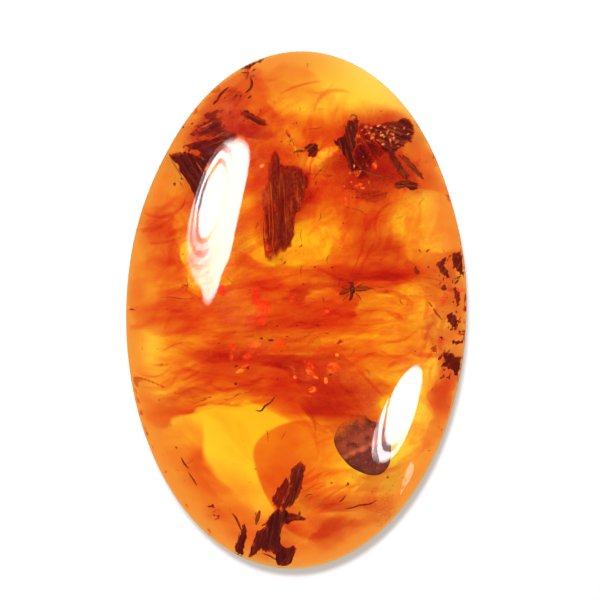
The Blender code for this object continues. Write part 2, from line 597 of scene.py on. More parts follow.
# Name, tint, rise, streaks (length and width in mm, and angle), how much of it is streaks,
# how sharp they are, and its outline in the picture
LAYERS = (
    ("cloud_upper_left", (0.93, 0.46, 0.34, 1.0), 0.62, (3.4, 1.0, 35.0), 0.43, 3.4, (
        (136, 290), (150, 200), (185, 120), (240, 64), (300, 90), (310, 170), (290, 250), (230, 300))),
    ("cloud_upper", (0.94, 0.50, 0.38, 1.0), 0.50, (2.2, 1.0, 75.0), 0.46, 3.4, (
        (250, 95), (330, 88), (405, 112), (445, 175), (440, 260), (360, 280), (280, 270), (246, 180))),
    ("cloud_middle_high", (0.93, 0.45, 0.34, 1.0), 0.72, (5.5, 0.75, 8.0), 0.43, 3.4, (
        (132, 300), (180, 250), (300, 252), (420, 240), (462, 300), (440, 350), (300, 372), (160, 362))),
    ("cloud_middle_low", (0.93, 0.46, 0.34, 1.0), 0.32, (6.5, 1.1, -5.0), 0.44, 3.2, (
        (130, 350), (200, 320), (310, 325), (430, 330), (456, 380), (380, 440), (250, 412), (150, 416))),
    ("cloud_lower_right", (0.94, 0.50, 0.38, 1.0), 0.45, (2.4, 1.3, 25.0), 0.44, 3.2, (
        (280, 440), (360, 400), (440, 400), (425, 470), (380, 524), (310, 562), (262, 552), (262, 490))),
    ("cloud_lower_left", (0.97, 0.66, 0.50, 1.0), 0.40, (5.0, 2.2, -50.0), 0.50, 2.0, (
        (136, 400), (180, 396), (280, 420), (290, 500), (270, 556), (210, 530), (160, 460))),
    ("cloud_fine_grain", (0.95, 0.74, 0.62, 1.0), 0.80, (0.9, 0.4, 30.0), 0.45, 3.0, (
        (135, 310), (150, 190), (210, 90), (300, 80), (385, 110), (445, 190), (462, 310), (440, 380),
        (380, 420), (300, 412), (210, 396), (150, 380))),
)


def layer_looks(name, tint, grain, cut, contrast):
    """A tint that comes and goes in streaks, grain = length, width in mm and angle."""
    looks = Looks(name)
    place = looks.place()
    laid = looks.node("Mapping", {"vector_type": "TEXTURE"}, {
        "Vector": place, "Rotation": (0.0, 0.0, math.radians(grain[2])),
        "Scale": (grain[0] * MM, grain[1] * MM, grain[1] * MM),
    })
    streaks = looks.node("TexNoise", None, {
        "Vector": laid, "Scale": 1.0, "Detail": 7.0, "Roughness": 0.58, "Distortion": 0.9})
    mask = looks.clamp((streaks - cut) * contrast) * looks.attribute("depth")
    clear = looks.node("BsdfTransparent")
    tinted = looks.node("BsdfTransparent", None, {"Color": tint})
    return looks.finish(looks.node("MixShader", None, (mask, clear, tinted)))


def layer_form(rise, outline):
    """A thin rippled sheet, whose points also hold how far in from the edge they lie."""
    def swell(_, share):
        return LAYER_SWELL * math.sqrt(1 - share * share)

    def ripple(spot):
        return LAYER_RIPPLE * noise.noise(Vector((spot.x / 60, spot.y / 60, rise * 9)))

    form = bmesh.new()
    depth = form.verts.layers.float.new("depth")
    for vertex, _, share in add_lens(form, outline, rise, LAYER_TURNS, LAYER_RINGS, swell, ripple):
        vertex[depth] = min(1.0, (1 - share) / LAYER_FADE)
    return form


for name, tint, rise, grain, cut, contrast, outline in LAYERS:
    make_piece(name, layer_form(rise, outline), layer_looks(name, tint, grain, cut, contrast))


# Wisps
# Thin threads of darker resin, drawn out by each flow as it crept over the last. They lie
# along the flows, a few pixels wide.

STRAND_SIDES = 6
STRAND_RINGS = 10

# Name, colour, rise, and regions: two corners of the picture, the angle of the wisps in it,
# and how many there are
WISPS = (
    ("wisps_upper", ORANGE, 0.60, (
        ((200, 95), (262, 150), 30, 8), ((262, 75), (330, 120), 15, 5), ((300, 140), (340, 230), 60, 10),
        ((345, 200), (400, 260), 70, 10), ((150, 210), (185, 320), 25, 8))),
    ("wisps_middle", ORANGE, 0.55, (
        ((230, 265), (330, 335), 12, 20), ((330, 265), (450, 330), -14, 18), ((150, 330), (300, 385), 14, 20),
        ((300, 335), (430, 375), 12, 12))),
    ("wisps_lower", ORANGE, 0.45, (
        ((150, 380), (310, 405), 3, 14), ((300, 380), (375, 450), -55, 14), ((296, 480), (356, 524), 25, 12),
        ((424, 300), (446, 400), 80, 10))),
)
chance = random.Random(42)


def through(points, share):
    """A point on the smooth open curve through these points."""
    at = min(max(share, 0.0), 1.0) * (len(points) - 1)
    step = min(int(at), len(points) - 2)
    part = at - step
    last = len(points) - 1
    a, b, c, d = (Vector(points[min(max(step + k, 0), last)]) for k in (-1, 0, 1, 2))
    bend = (c - a) * part + (2 * a - 5 * b + 4 * c - d) * part ** 2
    return (2 * b + bend + (3 * b - a - 3 * c + d) * part ** 3) / 2


def add_strand(form, points, rise, width, depth=None, lifts=(0.0, 0.0)):
    """A strand through these points of the picture, thin at both ends. It is round, or as deep
    as depth says, and its two ends are lifted. Gives back each point and its share of the way."""
    strand = bmesh.ops.create_uvsphere(form, u_segments=STRAND_SIDES, v_segments=STRAND_RINGS, radius=1)
    stations = []
    for step in range(STRAND_RINGS + 1):
        share = step / STRAND_RINGS
        spot = through(points, share)
        ahead = (through(points, share + 0.02) - through(points, share - 0.02)).normalized()
        lift = lifts[0] + (lifts[1] - lifts[0]) * share
        middle = inside(spot.x, spot.y, rise, lift)
        across = inside(spot.x - ahead.y, spot.y + ahead.x, rise, lift) - middle
        across.z = 0.0
        reach = width / 2 * math.sin(math.pi * share) ** 0.6
        stations.append((middle, across * reach, reach * (PIXEL if depth is None else depth / width * 2)))
    placed = []
    for vertex in strand["verts"]:
        step = round(math.acos(max(-1.0, min(1.0, vertex.co.z))) / math.pi * STRAND_RINGS)
        middle, across, up = stations[step]
        around = Vector((vertex.co.x, vertex.co.y))
        if around.length > 1e-6:
            around.normalize()
        vertex.co = middle + across * around.x + Vector((0, 0, up * around.y))
        placed.append((vertex, step / STRAND_RINGS))
    return placed


def wisp_points(low, high, angle):
    """Four points of a bent thread somewhere between two corners of the picture."""
    middle = Vector((chance.uniform(low[0], high[0]), chance.uniform(low[1], high[1])))
    heading = math.radians(angle + chance.uniform(-14, 14))
    length = chance.uniform(14, 52)
    way = Vector((math.cos(heading), -math.sin(heading)))
    bend = Vector((-way.y, way.x)) * chance.uniform(-0.12, 0.12) * length
    return [middle + way * length * part + bend * (1 if abs(part) < 0.3 else -1)
            for part in (-0.5, -0.17, 0.17, 0.5)]


for name, (kind, _), rise, regions in WISPS:
    wisps = bmesh.new()
    for low, high, angle, number in regions:
        for _ in range(number):
            points = wisp_points(low, high, angle)
            width = chance.uniform(1.6, 7.5)
            depth = chance.uniform(0.12, 0.5) * MM
            lift = chance.uniform(-0.8, 0.8) * MM
            add_strand(wisps, points, rise, width, depth, (lift, lift))
    make_piece(name, wisps, flow_materials[kind])


# Bark and plant debris
# Shreds of bark, leaf and twig that fell into the resin while it was soft. They are dark
# red-brown and let a little light through, and torn fibres stand out from their ends. The
# fibres' glow is painted: an emission that stands in for the light soaking through them.

PLATE_TURNS = 72
PLATE_RINGS = 26
BARK_TAKES_PER_MM = (1.9, 5.0, 4.0)
BARK_DARK = (0.26, 0.055, 0.045, 1.0)
BARK_LIGHT = (0.95, 0.22, 0.15, 1.0)
# Painted glow of the bark fibres: an emission standing in for light through them
BARK_PAINTED_GLOW = 0.36
BODY_FRAY = 1.6
BODY_SLITS = 0.25
HEART_FRAY = 1.8
HEART_SHARE = 0.96
HEART_THICKNESS = 0.35
HEART_SLITS = 0.45
HUMUS_DARK = (0.20, 0.020, 0.020, 1.0)
HUMUS_LIGHT = (0.60, 0.08, 0.05, 1.0)
# Painted glow of the twigs, gnat and specks: an emission standing in for light through them
HUMUS_PAINTED_GLOW = 0.16


def fibre_looks(name, dark, light, glow):
    """Matt torn fibres: streaks run along the grain, and tone shades whole shreds. The glow is
    a painted glow, an emission that stands in for the light soaking through them from below."""
    looks = Looks(name)
    tone = looks.attribute("tone")
    edge = looks.attribute("edge")
    place = looks.node("CombineXYZ", None, (
        looks.attribute("along_grain") * 0.05, looks.attribute("across_grain") * 0.45, tone * 9.0))
    streaks = looks.node("TexNoise", None, {"Vector": place, "Detail": 6.0, "Roughness": 0.65})
    shade = looks.clamp((streaks - 0.5) * 1.9 + tone)
    dents = looks.node("Bump", None, {"Strength": 0.6, "Distance": 0.05 * MM, "Height": streaks})
    colour = looks.blend(shade, dark, light)
    return looks.finish(looks.node("BsdfPrincipled", None, {
        "Base Color": colour, "Roughness": 0.45 + streaks * 0.35, "Specular IOR Level": 0.0,
        "Normal": dents, "Emission Color": colour, "Emission Strength": glow,
        "Alpha": looks.clamp((1 - edge) * 2.2 + (streaks - 0.55) * 3.0),
    }))


def start_fibres():
    """An empty bmesh whose points also hold how they lie on the grain, and their tone."""
    form = bmesh.new()
    for layer in ("along_grain", "across_grain", "tone", "edge"):
        form.verts.layers.float.new(layer)
    return form


def set_grain(form, vertex, along_grain, across_grain, tone, edge=0.0):
    layers = form.verts.layers.float
    vertex[layers["along_grain"]] = along_grain
    vertex[layers["across_grain"]] = across_grain
    vertex[layers["tone"]] = tone
    vertex[layers["edge"]] = edge


def on_grain(spot, grain):
    """A point of the picture, in pixels along and across fibres that run at this angle."""
    angle = math.radians(grain)
    return (
        spot[0] * math.cos(angle) - spot[1] * math.sin(angle),
        spot[0] * math.sin(angle) + spot[1] * math.cos(angle),
    )


def off_grain(along_grain, across_grain, grain):
    """The way back from on_grain."""
    return Vector(on_grain((along_grain, across_grain), -grain))


def add_plate(form, outline, rise, thickness, grain, fray, slope=0.0, slits=BODY_SLITS, tone=None,
              turns=PLATE_TURNS, rings=PLATE_RINGS):
    """A shred of bark that fills the outline, ridged and split along its grain, torn across it."""
    seed = len(form.verts) * 0.013
    start = on_grain(middle_of(outline), grain)

    def half_thickness(spot, share):
        a, c = on_grain(spot, grain)
        ridge = noise.fractal(Vector((a / 30, c / 2.6, seed)), 0.6, 2.1, 4)
        return (1 - share * share) ** 0.25 * max(0.05, 1 - slits + ridge) * thickness * MM / 2

    def sway(spot):
        a, c = on_grain(spot, grain)
        return slope * MM * (a - start[0]) / 20 + 0.15 * MM * noise.noise(Vector((a / 12, c / 8, seed)))

    def tear(spot, share):
        a, c = on_grain(spot, grain)
        ends = noise.noise(Vector((c / 2.2, 0.3, seed))) + 0.35 * noise.noise(Vector((c / 0.9, 2.3, seed)))
        sides = 0.7 * noise.noise(Vector((a / 4.0, 4.1, seed)))
        push = fray * share ** 3
        return off_grain(a + 2 * push * ends, c + 2 * push * sides, grain)

    for vertex, spot, share in add_lens(
            form, outline, rise, turns, rings, half_thickness, sway, tear):
        if tone is not None:
            set_grain(form, vertex, *on_grain(spot, grain), tone, share ** 3)


def add_fibre(form, points, rise, width, tone, lifts=(0.0, 0.0)):
    """One fibre or twig through these points of the picture."""
    length = (Vector(points[-1]) - Vector(points[0])).length
    for vertex, share in add_strand(form, points, rise, width, None, lifts):
        set_grain(form, vertex, share * length, len(form.verts) * 0.01, tone)


def add_fibres(form, outline, rise, depth, grain, count, width, tone):
    """Loose fibres that follow the grain inside an outline, some of them past its torn ends."""
    ring = [on_grain(along(outline, step / 120), grain) for step in range(120)]
    low, high = min(c for _, c in ring), max(c for _, c in ring)
    for _ in range(count):
        c = chance.uniform(low + 0.5, high - 0.5)
        ends = [a1 for (a1, c1), (_, c2) in zip(ring, ring[1:] + ring[:1]) if (c1 - c) * (c2 - c) <= 0]
        start, end = min(ends), max(ends)
        start += chance.uniform(-1.5, 0.45 * (end - start))
        end -= chance.uniform(-1.5, 0.9 * (end - start))
        drift = chance.uniform(-0.8, 0.8)
        points = []
        for step in range(4):
            bend = chance.uniform(-0.3, 0.3)
            points.append(off_grain(start + (end - start) * step / 3, c + drift * step / 3 + bend, grain))
        lift = chance.uniform(-0.5, 0.6) * depth * MM
        tilt = chance.uniform(-0.1, 0.1) * MM
        add_fibre(form, points, rise, width * chance.uniform(0.5, 1.6), tone + chance.uniform(-0.3, 0.4),
                  (lift - tilt, lift + tilt))


bark_body = flow_looks("bark_body", BARK_TAKES_PER_MM)
bark_fibre = fibre_looks("bark_fibre", BARK_DARK, BARK_LIGHT, BARK_PAINTED_GLOW)
humus = fibre_looks("dark_humus", HUMUS_DARK, HUMUS_LIGHT, HUMUS_PAINTED_GLOW)


def shrunk(outline, share):
    """The same outline, smaller round its middle."""
    middle = middle_of(outline)
    return tuple(tuple(middle + (Vector(point) - middle) * share) for point in outline)


def make_shreds(name, shreds, twigs=()):
    """A cluster of shreds: their clear bodies, their torn fibrous hearts, and the loose fibres
    and twigs that stand out from them. A shred with no fibres is a clear body only."""
    bodies = bmesh.new()
    hearts = start_fibres()
    loose = start_fibres()
    for outline, rise, thickness, grain, tone, number in shreds:
        slope = chance.uniform(0.1, 0.35)
        add_plate(bodies, outline, rise, thickness, grain, BODY_FRAY, slope)
        if number > 0:
            heart = shrunk(outline, HEART_SHARE)
            thin = thickness * HEART_THICKNESS
            add_plate(hearts, heart, rise, thin, grain, HEART_FRAY, slope, HEART_SLITS, tone)
            add_fibres(loose, outline, rise, thickness, grain, number // 3, 1.0, tone)
    for points, rise, width, tone in twigs:
        add_fibre(loose, points, rise, width, tone)
    make_piece("bark_" + name, bodies, bark_body)
    make_piece("shreds_" + name, hearts, bark_fibre)
    make_piece("fibres_" + name, loose, bark_fibre)


# Central flake
# The largest shred of bark in the stone: a long fibrous strip, split along its length, that
# lies almost upright a little above the middle.

# For each shred of a cluster: its outline, rise, thickness in mm, the angle of its grain, its
# tone, and how many fibres it has
CENTRAL_FLAKE = (
    (((274, 150), (278, 155), (280, 162), (288, 165), (296, 164), (304, 170), (309, 179), (307, 190),
      (303, 202), (300, 211), (296, 214), (295, 226), (294, 238), (288, 250), (280, 256), (270, 262),
      (265, 256), (265, 240), (265, 228), (264, 217), (261, 206), (262, 192), (267, 180), (268, 164)),
     0.52, 0.75, 93.0, 0.30, 120),
)
make_shreds("central_flake", CENTRAL_FLAKE)


# Upper-left cluster
# Shreds of bark that lie across each other under the left side of the dome, one of them with
# a thin tip that reaches up to the rim.

UPPER_LEFT_SHREDS = (
    (((169, 154), (178, 151), (190, 152), (199, 156), (205, 164), (208, 178), (206, 198), (199, 212),
      (194, 196), (186, 180), (179, 170), (178, 162), (173, 160)), 0.66, 1.1, -60.0, 0.05, 24),
    (((184, 146), (197, 141), (212, 140), (228, 134), (238, 132), (236, 142), (222, 152), (212, 164),
      (203, 168), (199, 160), (199, 151), (192, 149)), 0.58, 0.7, 20.0, 0.18, 30),
    (((190, 135), (195, 128), (203, 123), (214, 117), (222, 119), (222, 127), (230, 132), (236, 135),
      (222, 138), (208, 137), (198, 137)), 0.70, 0.7, 25.0, 0.28, 30),
    (((204, 115), (213, 111), (223, 109), (219, 114), (213, 119), (206, 119)), 0.70, 0.4, 20.0, 0.4, 12),
    (((226, 88), (240, 90), (240, 104), (228, 106)), 0.55, 0.14, 40.0, 0.3, 0),
    (((238, 66), (246, 60), (256, 56), (264, 56), (262, 61), (254, 64), (249, 70), (246, 69)),
     0.66, 0.7, 30.0, 0.15, 6),
    (((244, 68), (248, 67), (249, 74), (246, 79), (243, 76)), 0.64, 0.4, 80.0, 0.2, 0),
    (((240, 111), (246, 110), (254, 115), (264, 119), (267, 126), (260, 125), (250, 120), (243, 118)),
     0.62, 0.7, -25.0, 0.2, 9),
)
make_shreds("upper_left", UPPER_LEFT_SHREDS)


# Upper-right chunk
# A piece of rotten wood: a dark wedge with a broken block beside it, two legs of fibre, and
# a short bar below them.

UPPER_RIGHT_SHREDS = (
    (((349, 120), (358, 118), (358, 130), (355, 139), (356, 147), (352, 153), (353, 160), (357, 167),
      (354, 171), (349, 169), (346, 159), (341, 150), (334, 142), (339, 137), (345, 132), (346, 124)),
     0.60, 1.1, -75.0, 0.02, 24),
    (((358, 124), (372, 124), (390, 130), (402, 146), (388, 153), (376, 161), (368, 178), (358, 178),
      (354, 160), (357, 140)), 0.45, 0.50, -60.0, 0.2, 0),
    (((370, 128), (384, 123), (396, 120), (408, 118), (414, 126), (414, 135), (408, 143), (400, 148),
      (392, 152), (384, 150), (377, 144), (375, 136)), 0.62, 0.9, -20.0, 0.14, 36),
    (((394, 184), (400, 181), (408, 180), (417, 183), (419, 188), (413, 190), (405, 188), (397, 189)),
     0.55, 0.8, 0.0, 0.05, 8),
    (((354, 190), (364, 190), (376, 189), (385, 192), (386, 198), (377, 202), (366, 202), (359, 198)),
     0.42, 0.22, 10.0, 0.30, 0),
    (((305, 147), (311, 143), (317, 144), (319, 149), (317, 153), (314, 158), (309, 157), (308, 152)),
     0.62, 0.8, 40.0, 0.05, 6),
    (((296, 172), (306, 172), (318, 170), (330, 174), (328, 178), (314, 176), (304, 175)),
     0.60, 0.25, -5.0, 0.3, 0),
    (((386, 145), (391, 147), (396, 156), (402, 166), (409, 177), (406, 180), (397, 172), (389, 159)),
     0.55, 0.6, -58.0, 0.10, 4),
    (((399, 155), (405, 156), (412, 163), (420, 172), (424, 180), (417, 176), (408, 167)),
     0.55, 0.5, -50.0, 0.15, 3),
)
UPPER_RIGHT_TWIGS = (
    (((350, 119), (352, 115), (356, 116), (357, 121)), 0.60, 2.2, 0.15),
    (((358, 166), (366, 172), (378, 176), (392, 176)), 0.50, 2.4, 0.15),
    (((293, 153), (298, 151), (304, 151), (309, 148)), 0.62, 3.0, 0.2),
)
make_shreds("upper_right", UPPER_RIGHT_SHREDS, UPPER_RIGHT_TWIGS)


# Foot of the stone
# A small dark branch that stands on the lower rim, with a leaf on top, two spurs and a lobe,
# and a thin shard on its left.

FOOT_SHREDS = (
    (((302, 461), (306, 467), (303, 478), (301, 491), (297, 500), (290, 507), (284, 511), (281, 506),
      (287, 498), (290, 488), (290, 476), (293, 466)), 0.62, 0.8, 75.0, 0.12, 20),
    (((288, 477), (290, 486), (289, 495), (284, 503), (277, 509), (273, 504), (273, 497), (277, 488),
      (282, 481)), 0.52, 0.55, 70.0, 0.32, 14),
    (((277, 509), (286, 509), (288, 516), (281, 525), (280, 536), (282, 546), (288, 554), (288, 566),
      (277, 566), (275, 556), (266, 552), (260, 546), (262, 532), (268, 518)), 0.60, 1.3, 80.0, 0.02, 20),
    (((282, 511), (292, 513), (300, 515), (307, 520), (296, 521), (288, 524), (280, 524)),
     0.55, 0.7, 5.0, 0.10, 10),
    (((281, 549), (289, 547), (297, 546), (296, 553), (291, 562), (288, 567), (279, 566)),
     0.58, 1.2, 60.0, 0.03, 8),
    (((257, 531), (264, 529), (265, 541), (259, 550), (253, 558), (249, 556), (252, 544)),
     0.52, 0.9, 70.0, 0.10, 8),
    (((245, 522), (247, 531), (245, 542), (243, 553), (238, 556), (234, 551), (237, 540), (241, 530)),
     0.50, 0.9, 72.0, 0.12, 8),
)
FOOT_TWIGS = (
    (((232, 513), (236, 518), (240, 527), (242, 532)), 0.55, 2.6, 0.2),
    (((260, 510), (258, 517), (256, 525)), 0.55, 4.5, 0.2),
    (((300, 511), (299, 516), (297, 521)), 0.58, 3.0, 0.2),
    (((276, 560), (270, 556), (262, 553)), 0.55, 2.0, 0.2),
)
make_shreds("foot", FOOT_SHREDS, FOOT_TWIGS)


# Right edge
# Crumbs of bark in a row close under the right side of the stone, all alike in thickness and
# grain.

CRUMB_THICKNESS = 0.55
CRUMB_GRAIN = 60.0
CRUMB_FIBRES = 7
RIGHT_EDGE_CRUMBS = (
    (((452, 255), (459, 252), (463, 256), (463, 270), (464, 277), (458, 272), (453, 267)), 0.45, 0.08),
    (((437, 262), (442, 260), (446, 257), (444, 264), (448, 271), (450, 277), (445, 277), (438, 269)),
     0.50, 0.1),
    (((454, 287), (458, 290), (460, 300), (458, 307), (456, 303), (454, 295)), 0.5, 0.35),
    (((447, 314), (452, 311), (456, 316), (458, 324), (457, 330), (452, 327), (449, 321)), 0.55, 0.06),
    (((452, 341), (458, 340), (463, 342), (460, 345), (454, 344)), 0.5, 0.2),
    (((441, 354), (447, 352), (455, 355), (462, 358), (461, 368), (457, 377), (452, 370), (446, 368),
      (440, 366), (445, 361)), 0.45, 0.08),
    (((433, 345), (436, 347), (437, 351), (433, 351), (431, 348)), 0.5, 0.3),
    (((442, 285), (446, 286), (446, 290), (442, 290)), 0.5, 0.25),
    (((414, 268), (417, 268), (420, 274), (417, 276)), 0.6, 0.4),
)
RIGHT_EDGE_TWIGS = (
    (((428, 301), (433, 308), (437, 314), (442, 320)), 0.6, 2.4, 0.4),
)
right_edge_shreds = tuple(
    (outline, rise, CRUMB_THICKNESS, CRUMB_GRAIN, tone, CRUMB_FIBRES)
    for outline, rise, tone in RIGHT_EDGE_CRUMBS
)
make_shreds("right_edge", right_edge_shreds, RIGHT_EDGE_TWIGS)


# Twigs and threads
# Single bits of thin stem, leaf rib and fibre that lie by themselves between the clusters,
# round and dark brown.

TWIGS = (
    (((250, 77), (252, 83), (250, 89), (245, 93)), 0.6, 3.0, 0.3),
    (((275, 396), (271, 402), (265, 406), (261, 411), (255, 410)), 0.7, 2.4, 0.25),
    (((378, 499), (370, 504), (360, 505), (351, 508), (344, 508)), 0.6, 1.8, 0.3),
    (((346, 495), (342, 500), (339, 502)), 0.6, 1.8, 0.4),
    (((181, 457), (184, 463), (189, 469)), 0.6, 1.8, 0.3),
    (((188, 472), (193, 479), (197, 486)), 0.6, 1.6, 0.3),
    (((217, 102), (221, 94), (229, 87)), 0.7, 3.0, 0.3),
    (((158, 298), (170, 297), (184, 299), (196, 298)), 0.6, 0.7, 0.6),
)
twigs = start_fibres()
for points, rise, width, tone in TWIGS:
    add_fibre(twigs, points, rise, width, tone)
make_piece("twigs_and_threads", twigs, humus)


# Scraps
# Crumbs torn off the bark and strewn round the shreds. They are thin and dark red-brown, and
# most of them lie along the grain of the shred beside them.

SCRAP_TURNS = 12
SCRAP_RINGS = 5
SCRAP_CORNERS = 7
SCRAP_THICKNESS = 0.22
SCRAP_FRAY = 0.6
SCRAP_SLITS = 0.4

# Name, and regions: two corners of the picture, how many scraps, the angle of their grain,
# and their rise
SCRAPS = (
    ("scraps_upper_left", (
        ((182, 120), (238, 158), 22, 25.0, 0.62), ((172, 152), (204, 192), 9, -50.0, 0.66),
        ((208, 90), (262, 122), 8, 40.0, 0.58), ((238, 56), (260, 78), 5, 30.0, 0.66))),
    ("scraps_upper_right", (
        ((346, 120), (412, 150), 20, -20.0, 0.62), ((346, 150), (380, 180), 12, -60.0, 0.56),
        ((352, 186), (388, 200), 8, 10.0, 0.48))),
    ("scraps_foot", (
        ((250, 512), (308, 552), 8, 70.0, 0.55), ((207, 506), (219, 519), 4, 30.0, 0.50))),
    ("scraps_right_edge", (
        ((436, 254), (463, 284), 14, 60.0, 0.50), ((448, 284), (463, 340), 9, 85.0, 0.48),
        ((440, 350), (462, 378), 14, 50.0, 0.48))),
)


def add_scraps(form, low, high, number, grain, rise):
    """Small torn scraps strewn between two corners of the picture."""
    for _ in range(number):
        middle = Vector((chance.uniform(low[0], high[0]), chance.uniform(low[1], high[1])))
        lie = grain + chance.uniform(-35, 35)
        length, width = chance.uniform(1.2, 4.2), chance.uniform(0.7, 1.7)
        outline = []
        for step in range(SCRAP_CORNERS):
            way = 2 * math.pi * step / SCRAP_CORNERS
            reach = chance.uniform(0.6, 1.3)
            outline.append(tuple(middle + off_grain(
                length * math.cos(way) * reach, width * math.sin(way) * reach, lie)))
        add_plate(form, outline, rise + chance.uniform(-0.08, 0.08), SCRAP_THICKNESS, lie, SCRAP_FRAY, 0.0,
                  SCRAP_SLITS, chance.uniform(0.0, 0.45), SCRAP_TURNS, SCRAP_RINGS)


for name, regions in SCRAPS:
    scraps = start_fibres()
    for region in regions:
        add_scraps(scraps, *region)
    make_piece(name, scraps, bark_fibre)


# Stress flakes
# Where the amber was strained it split into tiny flat discs: red, orange and golden flecks.
# The light they catch is painted, as a glow of their own by emission. They lie between the
# flows, most of them near the middle.

FLAKE_TURNS = 28
FLAKE_RINGS = 10
FLAKE_CORNERS = 10
FLAKE_THICKNESS = 0.08 * MM
RIPPLES_PER_METRE = 1800.0
PAINTED_SPARKLE_RISE = 0.78


def flake_looks(name, colour, deep, glow, cover):
    """A rippled, part see-through disc with a painted glint: it glows by emission, most in its
    bright ripples. cover is how much it hides: a share everywhere, and how much more in its
    bright ripples."""
    looks = Looks(name)
    ripples = looks.node("TexNoise", None, {
        "Vector": looks.place(), "Scale": RIPPLES_PER_METRE, "Detail": 4.0, "Distortion": 1.2})
    shade = looks.clamp((ripples - 0.42) * 5.0)
    tone = looks.blend(shade, deep, colour)
    return looks.finish(looks.node("BsdfPrincipled", None, {
        "Base Color": tone, "Roughness": 0.4 + ripples * 0.2, "Specular IOR Level": 0.0,
        "Alpha": looks.clamp((cover[0] + shade * cover[1]) * looks.attribute("middle")),
        "Emission Color": tone, "Emission Strength": glow,
    }))


def add_flake(form, middle, halves, angle, rise, lean=0.0):
    """A thin oval disc: middle and half sizes in the picture, turned by an angle, on a lean."""
    turn = math.radians(angle)
    outline = []
    for step in range(FLAKE_CORNERS):
        way = 2 * math.pi * step / FLAKE_CORNERS
        reach = 1 + 0.22 * noise.noise(Vector((middle[0] * 0.37, middle[1] * 0.31, step * 1.7)))
        x, y = halves[0] * math.cos(way) * reach, halves[1] * math.sin(way) * reach
        outline.append((middle[0] + x * math.cos(turn) + y * math.sin(turn),
                        middle[1] - x * math.sin(turn) + y * math.cos(turn)))

    def swell(_, share):
        return FLAKE_THICKNESS / 2 * math.sqrt(1 - share * share)

    def tilt(spot):
        return lean * MM * (spot.x - middle[0]) / 10

    layer = form.verts.layers.float.get("middle") or form.verts.layers.float.new("middle")
    for vertex, _, share in add_lens(form, outline, rise, FLAKE_TURNS, FLAKE_RINGS, swell, tilt):
        vertex[layer] = 1 - share * share


# Middle, half sizes and angle in the picture, and rise
RED_FLAKES = (
    ((258, 320), (12, 8), 10, 0.62), ((256, 298), (6, 11), 10, 0.62), ((264, 309), (9, 10), -20, 0.6),
    ((233, 347), (4, 5), 20, 0.6), ((248, 356), (6, 4), 30, 0.6), ((374, 166), (3, 5), 0, 0.62),
    ((246, 366), (6, 2), 20, 0.6), ((231, 356), (3, 5), 10, 0.6), ((280, 344), (7, 4), 15, 0.55),
    ((200, 130), (3, 2), 0, 0.7), ((268, 250), (4, 8), 5, 0.5), ((441, 340), (5, 3), 20, 0.55),
    ((346, 202), (1.5, 6), 5, 0.6), ((310, 366), (9, 4), -35, 0.6), ((444, 300), (4, 9), -25, 0.5),
    ((357, 174), (4, 3), 20, 0.6), ((359, 185), (5, 2), 15, 0.6), ((222, 290), (5, 7), 20, 0.5),
)
ORANGE_FLAKES = (
    ((254, 345), (8, 3.5), 8, 0.66), ((312, 374), (8, 3), -38, 0.66), ((326, 381), (2.5, 4), 10, 0.64),
    ((313, 390), (5, 4), 10, 0.64), ((292, 299), (3, 4), 0, 0.6), ((327, 311), (3, 2), 0, 0.6),
    ((295, 377), (2, 2), 0, 0.6), ((337, 355), (2, 2), 0, 0.6), ((429, 311), (2, 10), -48, 0.6),
    ((460, 292), (2, 3), 0, 0.5), ((232, 265), (3, 2), 0, 0.6), ((262, 166), (3, 2), 30, 0.6),
    ((240, 371), (5, 2), 25, 0.62), ((336, 240), (9, 2), -45, 0.6), ((333, 368), (8, 6), 20, 0.5),
)
# Golden flecks that glow by emission: painted glints, and over the clear window at the foot of the central
# flake a painted patch of brighter light
GOLDEN_FLAKES = (
    ((303, 252), (22, 8), 8, 0.45), ((320, 234), (8, 12), 40, 0.5), ((323, 155), (18, 6), 26, 0.6),
    ((317, 161), (5, 3), 45, 0.6), ((311, 262), (12, 4), 0, 0.5),
)
# Pinkish patches that glow by emission: painted reflection, the haze that the polish shows round the bright
# patches, over pink clouding in the amber
PAINTED_HAZE_PATCHES = (
    ((234, 312), (22, 30), 15, 0.74), ((257, 316), (13, 17), 10, 0.70), ((430, 326), (8, 22), -20, 0.62),
    ((438, 344), (12, 10), 20, 0.58), ((250, 350), (26, 10), 10, 0.68), ((340, 372), (26, 12), -25, 0.66),
    ((200, 134), (14, 8), 30, 0.72), ((236, 118), (20, 24), 20, 0.70), ((365, 152), (16, 12), 0, 0.40),
    ((368, 400), (14, 22), 10, 0.66), ((300, 372), (22, 8), -30, 0.64), ((262, 190), (10, 30), 5, 0.60),
    ((248, 150), (14, 34), -8, 0.66), ((242, 240), (12, 34), 0, 0.64), ((380, 505), (20, 24), 30, 0.50),
)
# Painted glints: tiny flecks on the upper-right chunk that glow by emission
PAINTED_SPARKLES = (
    (358, 136), (374, 134), (376, 130), (381, 132), (388, 131), (392, 134), (390, 141), (391, 145),
    (397, 142), (404, 128), (408, 134), (371, 128), (384, 137), (379, 141), (352, 290), (366, 127),
    (362, 130), (369, 133), (378, 126), (385, 127), (395, 128), (400, 135), (387, 133), (382, 135),
    (372, 138), (394, 138), (383, 144), (366, 134), (398, 146), (354, 166), (350, 173), (360, 172),
    (369, 182), (362, 188), (374, 190), (344, 186), (351, 182),
)


def make_flakes(name, colour, deep, glow, cover, places, painted_sparkles=()):
    flakes = bmesh.new()
    for middle, halves, angle, rise in places:
        add_flake(flakes, middle, halves, angle, rise, chance.uniform(-0.3, 0.3))
    for spot in painted_sparkles:
        halves = (chance.uniform(1.1, 3.4), chance.uniform(0.7, 1.9))
        add_flake(flakes, spot, halves, chance.uniform(-40, 90), PAINTED_SPARKLE_RISE)
    make_piece(name, flakes, flake_looks(name, colour, deep, glow, cover))


